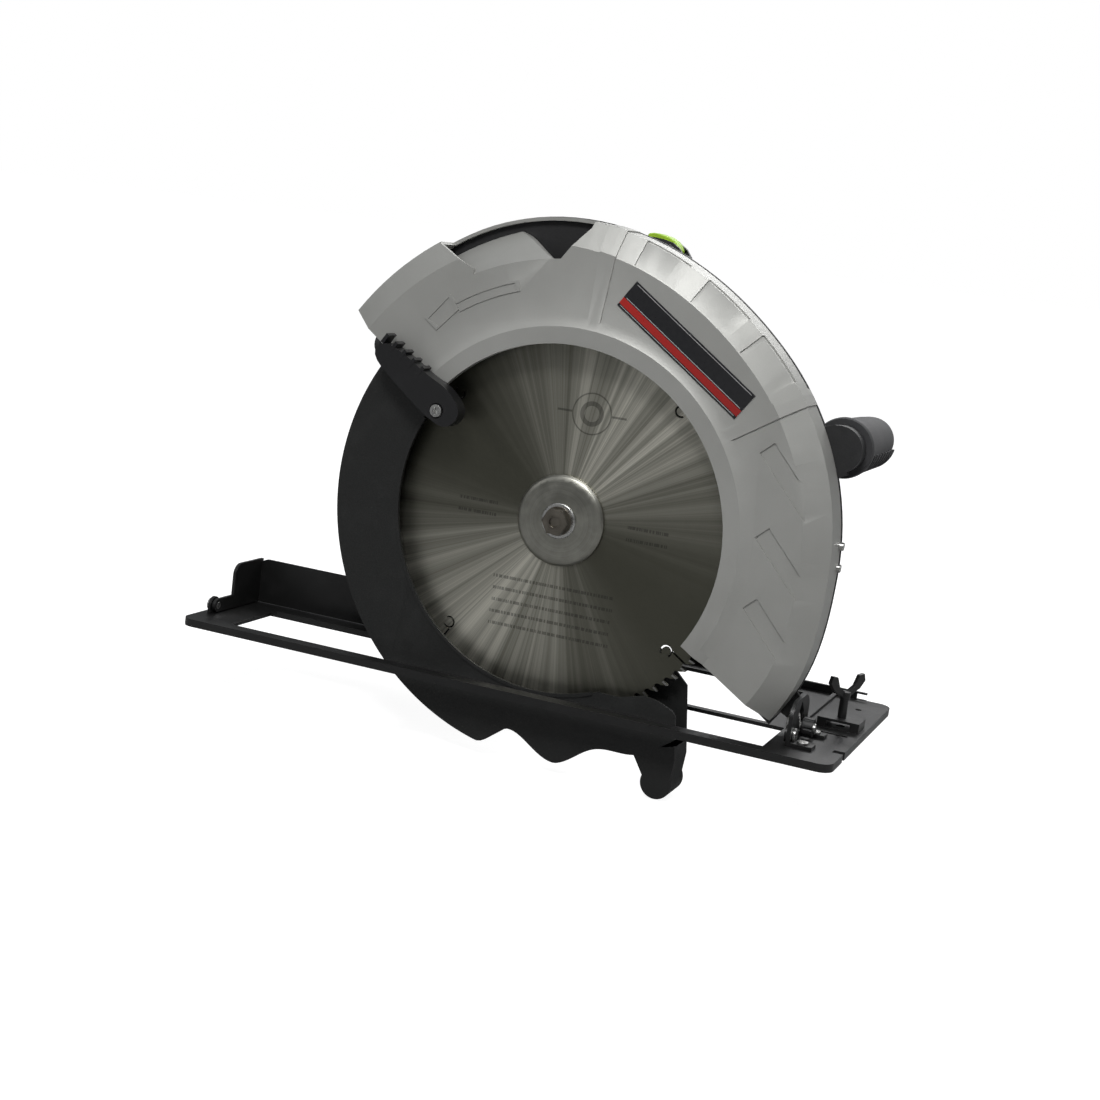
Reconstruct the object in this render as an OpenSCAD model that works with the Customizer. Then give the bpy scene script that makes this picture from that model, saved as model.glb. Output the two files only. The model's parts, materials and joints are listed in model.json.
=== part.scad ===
// Circular saw with an open side guard, tilting base and swinging depth of cut.
// X forward along the cut, Y from the blade towards the motor, Z up.
// The origin is the middle of the blade on the spindle axis.

/* [Blade] */
// diameter over the teeth
blade_d = 255; // [200:1:280]
// bore of the blade
blade_bore_d = 30; // [20:0.1:30]
// thickness of the blade body
blade_t = 1.8; // [1.4:0.1:2.6]
// width over the carbide tips
blade_kerf = 2.6; // [2:0.1:3.4]
// number of teeth
blade_teeth = 100; // [60:1:120]
// distance of the expansion holes from the spindle
slot_ring_r = 109.3; // [90:0.1:112]

/* [Upper guard] */
// distance of the outer wall from the spindle at the rear
guard_r_rear = 199.5; // [190:0.5:205]
// distance of the outer wall from the spindle at the front
guard_r_front = 181; // [176:0.5:190]
// extra distance at the lower front end
guard_toe = 5.5; // [0:0.5:8]
// angle of the rear end, measured from forward
guard_a_rear = 144.4; // [120:0.1:150]
// angle of the lower front end
guard_a_front = -32.4; // [-40:0.1:-20]
// radius of the round side opening
guard_open_r = 115.2; // [110:0.1:118]
// thickness of the cast wall
guard_t = 2.3; // [1.8:0.1:3.5]
// outside of the side face in front of the blade
guard_side_y = -16; // [-18:0.1:-15]

/* [Lower guard] */
// outer radius of the lower guard
lower_r = 159.6; // [150:0.1:161]
// inner radius of its side walls
lower_in_r = 113.5; // [105:0.1:116]
// how far it swings back
lower_travel = 110; // [60:1:115]

/* [Base] */
// height of the spindle above the top of the base
base_drop = 111.7; // [100:0.1:120]
// thickness of the pressed plate
base_t = 2.5; // [1.5:0.1:4]
// height of the rolled edges
base_lip = 5.4; // [3:0.1:8]
// front end of the base
base_front = 206; // [190:0.5:220]
// rear end of the base
base_rear = -261; // [-270:0.5:-230]
// edge beside the blade
base_near = -34.6; // [-45:0.1:-28]
// edge under the motor
base_far = 146.5; // [120:0.5:160]

/* [Drive] */
// gear module
gear_m = 1.25; // [1:0.05:1.5]
// teeth on the large gear
gear_z = 46; // [30:1:60]
// teeth on the armature pinion
pinion_z = 10; // [8:1:14]
// outer radius of the motor housing
motor_r = 47; // [42:0.5:52]

/* [Hidden] */
$fn = 96;
silver = [0.66, 0.66, 0.64];
black = [0.07, 0.07, 0.08];
dark = [0.16, 0.16, 0.17];
steel = [0.62, 0.61, 0.58];
zinc = [0.72, 0.72, 0.72];
lime = [0.6, 0.8, 0.12];
copper = [0.72, 0.38, 0.18];
blade_r = blade_d / 2;
base_z = -base_drop;
sole_z = base_z - base_lip;
side_in_y = guard_side_y + guard_t;
back_y = 17.6;
motor_z = gear_m * (gear_z + pinion_z) / 2;
pivot = [152, -86];
depth_r = 288;
depth_bolt = [pivot[0] + depth_r * cos(156.5), pivot[1] + depth_r * sin(156.5)];
bevel_y = -4;
bevel_z = base_z + 5.7;
lever_pin = [-84.5, 60.8];
front_grip = [170, 73];
rip_x = 189;

// profile in X and Z, extruded from y = a to y = b
module ext_y(a, b) {
  rotate([90, 0, 0]) translate([0, 0, -b]) linear_extrude(b - a) children();
}
// profile in Y and Z, extruded from x = a to x = b
module ext_x(a, b) {
  rotate([90, 0, 90]) translate([0, 0, a]) linear_extrude(b - a) children();
}
// round bar along Y
module rod_y(r, a, b, x = 0, z = 0) {
  translate([x, a, z]) rotate([-90, 0, 0]) cylinder(r = r, h = b - a);
}
// round bar along X
module rod_x(r, a, b, y = 0, z = 0) {
  translate([a, y, z]) rotate([0, 90, 0]) cylinder(r = r, h = b - a);
}
// body of revolution about Y, profile in radius and y
module spin_y() {
  rotate([-90, 0, 0]) rotate_extrude() children();
}
module pie(a0, a1, r = 420) {
  polygon(concat([[0, 0]], [for (i = [0:16]) r * [cos(a0 + (a1 - a0) * i / 16),
    sin(a0 + (a1 - a0) * i / 16)]]));
}
module ring_part(r0, r1, a0, a1) {
  intersection() {
    difference() { circle(r = r1, $fn = 180); circle(r = r0, $fn = 180); }
    pie(a0, a1);
  }
}
function ease(t) = t <= 0 ? 0 : t >= 1 ? 1 : t * t * (3 - 2 * t);
// distance of the upper guard's outer wall from the spindle
function guard_r(a) = guard_r_front + (guard_r_rear - guard_r_front) * ease((a - 45) / 73)
  + guard_toe * ease((-2 - a) / 26);
module guard_area(grow, a0, a1) {
  polygon(concat([[0, 0]], [for (a = [a0:2.6:a1 + 0.01]) (guard_r(a) + grow) * [cos(a), sin(a)]]));
}
guard_span0 = guard_a_front - 2.6;
guard_span1 = guard_a_rear + 2.6;
shoulder = 0.91;
// outer form of the cover; grow moves every face outwards
module guard_form(grow, side, far) {
  ext_y(-5.5 - grow, far) guard_area(grow, guard_span0, guard_span1 + 2.6);
  rotate([90, 0, 0]) translate([0, 0, 5.5 + grow]) linear_extrude(-side - 5.5, scale = shoulder)
    guard_area(grow, guard_span0, guard_span1 + 2.6);
}
// one soft step of corner cutting on a closed outline
function soften(p) = [for (i = [0:len(p) - 1], k = [0, 1])
  k == 0 ? p[i] * 0.75 + p[(i + 1) % len(p)] * 0.25 : p[i] * 0.25 + p[(i + 1) % len(p)] * 0.75];
function unit(v) = v / norm(v);
function shift_out(p, d) = [for (i = [0:len(p) - 1])
  let (t = unit(p[(i + 1) % len(p)] - p[(i + len(p) - 1) % len(p)])) p[i] + d * [t[1], -t[0]]];
module hex_head(r, a, b, x = 0, z = 0) {
  translate([x, a, z]) rotate([-90, 0, 0]) cylinder(r = r, h = b - a, $fn = 6);
}
// pan head screw along Y, head from y = a towards the shank end b
module pan_screw(r, a, b, x, z, head_h) {
  s = b > a ? 1 : -1;
  difference() {
    union() {
      rod_y(r * 2, min(a, a + s * head_h), max(a, a + s * head_h), x, z);
      rod_y(r, min(a + s * head_h, b), max(a + s * head_h, b), x, z);
    }
    for (k = [0, 90]) translate([x, a, z]) rotate([0, k, 0])
      cube([r * 2.2, head_h, r * 0.5], center = true);
  }
}

// ---- base group ----
module base_lips() {
  // rolled edge all round the sole
  difference() {
    translate([0, 0, sole_z]) linear_extrude(base_lip) base_outline(0);
    translate([0, 0, sole_z - 1]) linear_extrude(base_lip + 2) base_outline(-2.2);
  }
}
module base_outline(grow) {
  r = 9;
  x0 = base_rear - grow; x1 = base_front + grow; y0 = base_near - grow; y1 = base_far + grow;
  for (x = [x0 + r, x1 - r], y = [y0 + r, y1 - r]) translate([x, y]) circle(r = r, $fn = 48);
  translate([x0 + r, y0]) square([x1 - x0 - 2 * r, y1 - y0]);
  translate([x0, y0 + r]) square([x1 - x0, y1 - y0 - 2 * r]);
}
module base_plate() color(black) difference() {
  union() {
    translate([0, 0, base_z - base_t]) linear_extrude(base_t) base_outline(0);
    base_lips();
    // upturned edge that guides the fence bar
    translate([base_rear + 18, base_far - 2.2, base_z - 0.1])
      cube([base_front - base_rear - 36, 2.2, 5.6]);
    // raised cross ribs
    for (x = [165]) translate([x, 31, base_z - 0.1]) cube([3, 108, 2.3]);
    for (x = [-236, -70]) translate([x, 78, base_z - 0.1]) cube([4, 58, 1.8]);
    // bridge over the fence bar
    translate([rip_x - 14, 52, base_z - 0.1]) cube([28, 19, 6.6]);
    // rolled rim of the blade opening
    translate([-222, 28.5, base_z - 0.1]) cube([150, 2.2, 1.9]);
  }
  // blade opening
  translate([-226, -24, sole_z - 1]) cube([386, 52.5, base_lip + 8]);
  // opening under the motor
  translate([-34, 34, sole_z - 1]) cube([180, 98, base_lip + 8]);
  // fence bar passage: slot in the bridge, far edge window
  translate([rip_x - 8, 50, base_z + 0.6]) cube([16, 23, 4.2]);
  translate([rip_x - 8, base_far - 4, base_z + 0.4]) cube([16, 8, 3.8]);
  translate([rip_x - 10, 38, base_z - base_t - 1]) cube([20, 3.2, base_t + 2]);
  // screw hole in the bridge, fixing holes
  translate([rip_x, 61.5, base_z - base_t - 1]) cylinder(r = 3, h = 16, $fn = 32);
  translate([rip_x, 116, base_z - base_t - 1]) cylinder(r = 2.2, h = base_t + 2, $fn = 32);
  for (p = rivet_spots) translate([p[0], p[1], base_z - base_t - 1])
    cylinder(r = 2.05, h = base_t + 2, $fn = 32);
  // line of sight notch at the front
  translate([base_front - 7, -3, sole_z - 1]) cube([12, 6, base_lip + 3]);
}
rivet_spots = [[181, -8], [181, 24], [-246, 68], [-222, 68]];
module front_bevel_bracket() color(black) difference() {
  union() {
    ext_x(171.2, 173.7) difference() {
      union() {
        translate([-13, base_z + 0.05]) square([42, 16]);
        translate([-1, base_z + 0.05]) square([18, 27.5]);
        translate([-1, base_z + 15.5]) circle(r = 12, $fn = 64);
        translate([17, base_z + 15.5]) circle(r = 12, $fn = 64);
      }
      // round slot for the clamp bolt
      translate([bevel_y, bevel_z]) ring_part(15.6, 22.4, -4.3, 61.3);
    }
    // two feet on the base
    for (f = [[-13, 11], [20.5, 8.5]]) translate([173.6, f[0], base_z + 0.05]) cube([14.4, f[1], 2.4]);
  }
  rod_x(2.62, 165, 180, bevel_y, bevel_z);
  rod_x(4.8, 173.72, 176.2, bevel_y, bevel_z);
  for (y = [-8, 24]) translate([181, y, base_z - 1]) cylinder(r = 2.05, h = 6, $fn = 32);
}
module rear_bevel_bracket() color(black) difference() {
  union() {
    ext_x(-255.2, -253) union() {
      translate([-10, base_z + 0.05]) square([30, 7]);
      translate([bevel_y, bevel_z + 0.2]) circle(r = 5.8, $fn = 48);
      translate([20, base_z + 0.05]) square([62, 2.4]);
    }
    translate([-253.2, 60, base_z + 0.05]) cube([38, 16, 2.4]);
  }
  rod_x(2.62, -260, -245, bevel_y, bevel_z);
  translate([-260, -20, base_z - 10]) cube([20, 60, 10.05]);
  for (x = [-246, -222]) translate([x, 68, base_z - 1]) cylinder(r = 2.05, h = 6, $fn = 32);
}
module bracket_rivets() color(zinc) for (p = rivet_spots) translate([p[0], p[1], 0]) {
  translate([0, 0, base_z - base_t - 1.4]) cylinder(r = 3.4, h = 1.4, $fn = 32);
  translate([0, 0, base_z - base_t - 0.1]) cylinder(r = 2, h = base_t + 2.6, $fn = 32);
  translate([0, 0, base_z + 2.45]) cylinder(r = 3.6, h = 1.5, $fn = 32);
}
module bevel_pivot_pins() color(zinc) {
  rod_x(2.6, 168.5, 173.8, bevel_y, bevel_z);
  rod_x(4.4, 173.75, 175.6, bevel_y, bevel_z);
  rod_x(2.6, -255.3, -250, bevel_y, bevel_z);
  rod_x(4.4, -257.1, -255.25, bevel_y, bevel_z);
}
clamp_y = bevel_y + 19 * cos(6);
clamp_z = bevel_z + 19 * sin(6);
module bevel_clamp_bolt() color(zinc) {
  rod_x(2.9, 167.2, 183, clamp_y, clamp_z);
  rod_x(5.2, 164.6, 168.75, clamp_y, clamp_z);
}
module bevel_clamp_knob() color(black) difference() {
  union() {
    rod_x(6, 175, 181.5, clamp_y, clamp_z);
    rod_x(4.6, 174.1, 175.1, clamp_y, clamp_z);
  }
  rod_x(2.98, 170, 190, clamp_y, clamp_z);
  // grip notches
  for (k = [0:5]) rod_x(1.1, 176, 190, clamp_y + 6.3 * cos(60 * k), clamp_z + 6.3 * sin(60 * k));
}
module rip_guide_wing_screw() color(black) union() {
  translate([rip_x, 61.5, base_z + 5]) cylinder(r = 2.9, h = 17, $fn = 32);
  translate([rip_x, 61.5, base_z + 19]) cylinder(r = 3.6, h = 5, $fn = 32);
  translate([rip_x, 61.5, base_z + 22]) rotate([0, 0, 62]) ext_y(-1.4, 1.4) for (s = [-1, 1]) {
    polygon([[s * 1.5, -2.6], [s * 8, 1.4], [s * 12.6, 3.6], [s * 17, 8.6], [s * 15.4, 13.4],
      [s * 10.8, 12.6], [s * 7.6, 5.8], [s * 1.5, 1.8]]);
  }
}
// ---- tilting frame ----
module tilt_frame() color(black) difference() {
  union() {
    // long side wall with the depth arc
    ext_y(50, 52) union() {
      translate([-252.3, base_z + 0.7]) square([347, 22]);
      translate([-252.3, base_z + 10]) square([150, 15]);
      translate([-244.3, base_z + 20]) square([142, 13]);
      translate([-244.3, base_z + 25]) circle(r = 8, $fn = 48);
      translate([22, base_z + 10]) square([72, 36]);
      translate(pivot) ring_part(depth_r - 11, depth_r + 11, 154, 184.4);
    }
    // end wall at the rear with its pivot ear
    ext_x(-252.3, -250) union() {
      translate([15, base_z + 0.7]) square([37, 24.3]);
      translate([23, base_z + 20]) square([29, 13]);
      translate([23, base_z + 25]) circle(r = 8, $fn = 48);
      translate([bevel_y, bevel_z]) circle(r = 4.8, $fn = 48);
      translate([bevel_y, base_z + 1]) square([22, 9.4]);
    }
    // stepped arm behind the guard
    ext_y(24, 26.5) polygon([[64, -72], [96, -72], [108, -76], [150, -97.5], [170.8, -108],
      [170.8, -92], [158, -76], [148, -73.5], [110, -55], [96, -50], [64, -50]]);
    translate([64, 24.5, -71.6]) cube([2.6, 27, 21.2]);
    translate([64, 50, -71.6]) cube([28, 2, 21.2]);
    // front plate against the bracket
    ext_x(168.8, 170.8) union() {
      translate([bevel_y, bevel_z]) circle(r = 5.2, $fn = 48);
      polygon([[bevel_y, bevel_z - 5.2], [26.5, bevel_z - 2.4], [26.5, -92], [12, -94],
        [bevel_y, bevel_z + 5.2]]);
    }
  }
  rod_x(2.65, 160, 180, bevel_y, bevel_z);
  rod_x(2.65, -260, -240, bevel_y, bevel_z);
  rod_x(3, 160, 180, clamp_y, clamp_z);
  rod_y(4.05, 20, 30, pivot[0], pivot[1]);
  // slot of the depth arc
  ext_y(49, 53) translate(pivot) union() {
    ring_part(depth_r - 3.4, depth_r + 3.4, 156.5, 180.5);
    for (a = [156.5, 180.5]) translate(depth_r * [cos(a), sin(a)]) circle(r = 3.37, $fn = 48);
  }
  // room for the motor at full depth
  translate([-98, 45, base_z + 15]) cube([118, 10, 44]);
  // room for the lower end of the arm at full bevel
  translate([60, 45, base_z - 1]) cube([40, 10, 40.6]);
}
module depth_pivot_pin() color(zinc) union() {
  rod_y(4, 18.2, 27.2, pivot[0], pivot[1]);
  rod_y(7, 26.8, 29.6, pivot[0], pivot[1]);
}
// ---- blade group ----
tooth_a = 360 / blade_teeth;
module tooth_gullets() {
  for (i = [0:blade_teeth - 1]) rotate(i * tooth_a) {
    // the cutting face leans forward and the back falls away
    polygon([[blade_r + 2, 0.15], [blade_r - 0.2, 0.15], [blade_r - 4.2, -0.9],
      [blade_r - 5.1, 0.6], [blade_r - 4.6, 2.3], [blade_r - 2.6, 3.9],
      [blade_r - 1, 6.2], [blade_r + 2, 6.8]]);
  }
}
module saw_blade() color(steel) difference() {
  union() {
    ext_y(-blade_t / 2, blade_t / 2) difference() {
      circle(r = blade_r - 0.6, $fn = 240);
      circle(r = blade_bore_d / 2, $fn = 96);
      tooth_gullets();
      // hooked expansion slots
      for (k = [0:3]) rotate(-40.8 + 90 * k) {
        translate([slot_ring_r, 0]) ring_part(3, 4.2, -20, 250);
        translate([slot_ring_r + 3, 2.8]) rotate(7) square([20, 1.3]);
      }
    }
    // carbide tips
    ext_y(-blade_kerf / 2, blade_kerf / 2) for (i = [0:blade_teeth - 1]) rotate(i * tooth_a)
      polygon([[blade_r - 4, -0.95], [blade_r, -0.05], [blade_r - 0.2, -1.3], [blade_r - 3.8, -2.3]]);
  }
}
module outer_flange() color(steel) union() {
  spin_y() difference() {
    polygon([[5.3, -4.9], [25, -4.9], [28.4, -4.2], [30.2, -2.6], [30.2, -0.92], [22, -0.92],
      [21.6, -1.5], [5.3, -1.5]]);
  }
}
module inner_flange() color(steel) difference() {
  spin_y() polygon([[6.05, 6.6], [12, 6.6], [12, 6.9], [30, 6.9], [30.2, 2], [30.2, 0.92],
    [21.6, 0.92], [21.6, 1.4], [14.95, 1.4], [14.95, -0.8], [6.05, -0.8]]);
}
module spindle() color(zinc) difference() {
  spin_y() polygon([[0, -0.6], [6, -0.6], [6, 10], [7.9, 10.2], [7.9, 11.8], [6, 12],
    [6, 30.5], [7.4, 30.8], [7.4, 42.2], [5, 42.5], [5, 47.1], [0, 47.1]]);
  rod_y(4.25, -2, 24);
}
module arbor_bolt() color(zinc) difference() {
  union() {
    hex_head(9.2, -13, -6.6);
    rod_y(9.6, -7.6, -6.55);
    rod_y(4.2, -6.8, 20);
  }
  rod_y(3.6, -14, -11.6);
}
module bolt_washer() color(steel) spin_y() polygon([[4.4, -6.5], [11.2, -6.5], [11.8, -6],
  [11.8, -4.95], [4.4, -4.95]]);
module gear_teeth(z, r_tip, depth) {
  for (i = [0:z - 1]) rotate(i * 360 / z) {
    w = 360 / z * r_tip * PI / 180;
    polygon([[r_tip + 1, -0.38 * w], [r_tip - depth, -0.2 * w], [r_tip - depth, 0.2 * w],
      [r_tip + 1, 0.38 * w]]);
  }
}
module large_gear() color(zinc) difference() {
  ext_y(31, 40) difference() {
    circle(r = gear_m * (gear_z + 0.6) / 2, $fn = 140);
    gear_teeth(gear_z, gear_m * (gear_z + 0.6) / 2, 2.3);
    circle(r = 7.42, $fn = 64);
    for (k = [0:5]) rotate(30 + k * 60) translate([17, 0]) circle(r = 3.6, $fn = 32);
  }
  spin_y() polygon([[11, 30], [24, 30], [24, 32.6], [11, 32.6]]);
}
// ---- upper guard ----
module rib(a, w) {
  intersection() {
    guard_form(0.9, guard_side_y, back_y - 0.4);
    ext_y(-30, 30) pie(a - w / 2, a + w / 2);
  }
}
// hollow floor of the chip opening, rising away from the blade side
module chip_floor() intersection() {
  spin_y() polygon([[166.2, -15.7], [168.4, -15.7], [190.4, 14], [190.4, 17.1], [186.8, 17.1]]);
  ext_y(-30, 30) polygon([[-20, 150], [-20, 166], [-45, 177], [-62, 183], [-100, 186],
    [-122, 176], [-122, 140]]);
}
module guard_cavity() {
  ext_y(-4.2, 40) guard_area(-guard_t, guard_span0 - 4, guard_span1 + 8);
  rotate([90, 0, 0]) translate([0, 0, 4.2]) linear_extrude(-side_in_y - 4.2, scale = 0.917)
    guard_area(-guard_t, guard_span0 - 4, guard_span1 + 8);
  // the round opening beside the blade
  spin_y() polygon([[0, -40], [guard_open_r, -40], [guard_open_r, -5], [0, -5]]);
}
module upper_guard_cover() color(silver) difference() {
  intersection() {
    union() {
      difference() {
        union() {
          guard_form(0, guard_side_y, back_y - 0.4);
          // raised ring round the opening
          spin_y() polygon([[100, -10], [100, -19], [126.2, -19], [133.2, guard_side_y + 0.01],
            [133.2, -10]]);
          rib(85.1, 3.6);
          rib(34.6, 3.5);
          // raised arrow showing the turning direction
          ext_y(guard_side_y - 0.6, guard_side_y + 0.2) {
            ring_part(150, 157, 106, 123.2);
            polygon([[-106.9, 118.2], [-91, 137.3], [-83, 127], [-97.3, 111.6]]);
          }
        }
        difference() {
          guard_cavity();
          // posts that take the screws from the motor side
          for (a = guard_screw_a) rod_y(5.2, -9, back_y - 0.4, (guard_r(a) - 7.4) * cos(a),
            (guard_r(a) - 7.4) * sin(a));
        }
        // hollow of the arrow
        ext_y(guard_side_y - 1, guard_side_y - 0.02) {
          ring_part(151.2, 155.8, 107, 123.2);
          polygon([[-104.3, 118], [-91.2, 133.8], [-85.6, 127], [-96.8, 114]]);
        }
        // stepped shoulder panels
        for (a = [[69, 79], [53.4, 64.6], [38.2, 49.3]]) intersection() {
          ext_y(-15.6, -1.5) pie(a[0], a[1]);
          difference() {
            ext_y(-15.6, -1.5) circle(r = 240);
            guard_form(-0.9, guard_side_y, 10);
          }
        }
        // diagonal grooves of the front part
        for (g = [[154.6, 47.5, 62, 11.5], [154.5, 0, 49, 11], [150.2, -41.5, 40, 11]])
        translate([g[0], guard_side_y - 1, g[1]]) rotate([0, 48, 0])
        cube([g[2], 3.8, g[3]], center = true);
        // opening that throws the chips out
        ext_y(-30, 14) intersection() {
          difference() { circle(r = 240); circle(r = 168.6, $fn = 180); }
          polygon([[-76, 150], [-17.6, 160], [-17.6, 166.4], [-1, 189.5], [4, 215], [-60, 240],
            [-136, 226], [-106, 167.5], [-76, 154.2]]);
        }
      }
      chip_floor();
    }
    ext_y(-60, 60) pie(guard_a_front, guard_a_rear);
  }
  // screw holes to the black half
  for (a = guard_screw_a) rod_y(2.02, 2, 30, (guard_r(a) - 7.4) * cos(a), (guard_r(a) - 7.4) * sin(a));
  for (z = [0, 14]) rod_x(2.65, 170, 190, 14.2, z);
}
guard_screw_a = [-24, 8, 50, 87, 136];
module guard_back_half() color(black) difference() {
  union() {
    ext_y(back_y, back_y + 2.4) intersection() {
      guard_area(0.4, guard_span0 - 6, guard_span1 + 6);
      pie(-35.6, 143.6);
    }
    ext_y(back_y, back_y + 2.4) circle(r = 62, $fn = 120);
    // block behind the front wall for its two screws
    translate([171.4, 10.4, -5]) cube([6.6, back_y - 10.3, 24]);
    // web that carries the rest buffer
    ext_y(back_y, back_y + 2.4) ring_part(20, 104, -62, -30);
    // lug of the front grip and of the depth pivot
    rod_y(15, back_y, 29.6, front_grip[0], front_grip[1]);
    rod_y(10, back_y, 23.6, pivot[0], pivot[1]);
    ext_y(back_y, 23) polygon([[120, 72], [140, 40], [178, 58], [166, 88]]);
  }
  rod_y(27.2, 0, 40);
  rod_y(4.05, 17.9, 40, pivot[0], pivot[1]);
  rod_y(5.05, 18.6, 40, front_grip[0], front_grip[1]);
  for (a = guard_screw_a) rod_y(2.1, 0, 30, (guard_r(a) - 7.4) * cos(a), (guard_r(a) - 7.4) * sin(a));
  for (z = [0, 14]) rod_x(2.65, 170, 190, 14.2, z);
  for (p = housing_ears) rod_y(1.9, 0, 40, p[0], p[1]);
  for (k = [0:2]) rod_y(2.1, 0, 40, 36 * cos(30 + 120 * k), 36 * sin(30 + 120 * k));
}
module guard_label() color(black) translate([73.6, guard_side_y - 0.62, 122.5]) rotate([0, 34.7, 0])
  translate([-52, 0, -9.8]) cube([104, 0.6, 19.6]);
module guard_screws() color(zinc) union() {
  for (a = guard_screw_a)
    pan_screw(2, back_y + 4.65, 4, (guard_r(a) - 7.4) * cos(a), (guard_r(a) - 7.4) * sin(a), 2.2);
  // two small screws on the front of the wall
  for (z = [0, 14]) rod_x(2.6, 172, 183.4, 14.2, z);
}
// ---- lower guard ----
function bump(d, w) = abs(d) >= w ? 0 : pow(cos(90 * d / w), 2);
function lower_out(a) = lower_r - 16.5 * (a < -95.5 ? bump(a + 95.5, 8) : bump(a + 95.5, 14))
  - 9.5 * bump(a + 71.5, 12);
module lower_area(grow, more = 0) {
  polygon(concat([[0, 0]], [for (a = [-214 - more:2:-110]) (lower_out(a) + grow) * [cos(a), sin(a)]],
    [for (a = [-109:1:-44 + more]) (lower_out(a) + grow) * [cos(a), sin(a)]]));
  // rounded tongue at the front
  translate([91.5, -155]) circle(r = 10.5 + grow, $fn = 64);
  polygon([[72 - grow, -136], [82.5 - grow, -153], [100.5 + grow, -153], [103 + grow, -128]]);
}
module front_trim() {
  // keeps only what lies behind the straight front edge
  polygon([[-400, -400], [103.6, -400], [103.6, -150], [94, -72], [30, -72], [0, 400], [-400, 400]]);
}
module lower_guard() color(black) difference() {
  union() {
    // outer wall
    ext_y(-13.2, 12) intersection() {
      difference() { lower_area(0); lower_area(-1.9, 4); }
      front_trim();
    }
    // side wall beside the blade, with the ear for the lever
    ext_y(-13.2, -11.4) union() {
      difference() {
        intersection() { lower_area(-0.5); front_trim(); }
        circle(r = lower_in_r, $fn = 180);
        polygon([[46, -104.5], [60, -104.6], [76, -100.2], [86, -101.5], [96, -106], [103, -114],
          [120, -114], [120, -40], [40, -60]]);
      }
      translate(lever_pin) circle(r = 9, $fn = 48);
      translate(lever_pin) rotate(144.3) translate([0, -8.6]) square([16, 17.2]);
    }
    // stiff rolled edge
    spin_y_part(-208, -69) polygon([[lower_in_r - 0.9, -14.2], [lower_in_r + 1.2, -14.2],
      [lower_in_r + 1.2, -11.9], [lower_in_r - 0.9, -11.9]]);
    // side wall beside the motor, with its hub
    ext_y(10.2, 12) union() {
      intersection() { lower_area(-0.5); front_trim(); }
      circle(r = 36, $fn = 120);
    }
  }
  rod_y(27.05, 5, 20);
  rod_y(2.1, -20, -5, lever_pin[0], lever_pin[1]);
}
module spin_y_part(a0, a1) {
  intersection() {
    spin_y() children();
    ext_y(-40, 40) pie(a0, a1);
  }
}
module lower_guard_lever() color(black) difference() {
  union() {
    ext_y(-30.5, -19.6) polygon(soften(soften([[-66, 62], [-76, 49], [-92, 56], [-112, 71],
      [-136, 90], [-129, 101], [-112, 94.5], [-94, 83], [-78, 76]])));
    rod_y(7, -20, -13.25, lever_pin[0], lever_pin[1]);
    // finger ribs
    for (t = [0:4]) translate([-99 - t * 7, -25.2, 84.6 + t * 4.4]) rotate([0, 34, 0])
      cube([2.4, 11, 7], center = true);
  }
  rod_y(2.3, -40, -10, lever_pin[0], lever_pin[1]);
  rod_y(5, -40, -28.6, lever_pin[0], lever_pin[1]);
}
module lever_screw() color(zinc) pan_screw(2.05, -31.6, -9.8, lever_pin[0], lever_pin[1], 2.9);
module guard_return_spring() color(steel) union() {
  for (y = [12.95, 14.25]) spin_y() translate([30.6, y]) circle(r = 0.6, $fn = 24);
  rod_y(0.45, 12.8, 14.4, 0, -30.6);
  rod_y(0.45, 14.2, 16, 30.6, 0);
}
module guard_retaining_ring() color(steel) ext_y(8.6, 9.8) difference() {
  circle(r = 31, $fn = 120);
  circle(r = 25.4, $fn = 120);
  translate([20, -3]) square([14, 6]);
}
module guard_rest_buffer() color(dark) union() {
  rod_y(5, 10.4, back_y - 0.05, 60, -66.4);
}
module bearing_retainer() color(zinc) difference() {
  union() {
    spin_y() polygon([[9.2, 7.5], [26.9, 7.5], [26.9, 8.5], [25.3, 8.5], [25.3, 9.9],
      [26.95, 9.9], [26.95, 15.2], [44, 15.2], [44, back_y - 0.05], [27.1, back_y - 0.05], [27.1, 20],
      [9.2, 20]]);
  }
  rod_y(16.02, 10.9, 22);
  for (k = [0:2]) rod_y(2.1, 0, 40, 36 * cos(30 + 120 * k), 36 * sin(30 + 120 * k));
  rod_y(0.7, 14, 16.2, 30.6, 0);
}
module retainer_screws() color(zinc) for (k = [0:2])
  pan_screw(2, 13.1, 19.9, 36 * cos(30 + 120 * k), 36 * sin(30 + 120 * k), 2.05);
module race(r0, r1, a, b, x, z) {
  // sealed ball bearing
  difference() {
    rod_y(r1, a, b, x, z);
    rod_y(r0, a - 1, b + 1, x, z);
    translate([x, 0, z]) for (s = [a - 1, b - 0.5]) spin_y()
      translate([(r0 + r1) / 2 - (r1 - r0) * 0.26, s]) square([(r1 - r0) * 0.52, 1.5]);
  }
}
module spindle_bearing() color(zinc) race(6.02, 16, 12.1, 22.1, 0, 0);
module spindle_bush() color(copper) race(5.03, 8, 42.9, 47.3, 0, 0);
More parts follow.
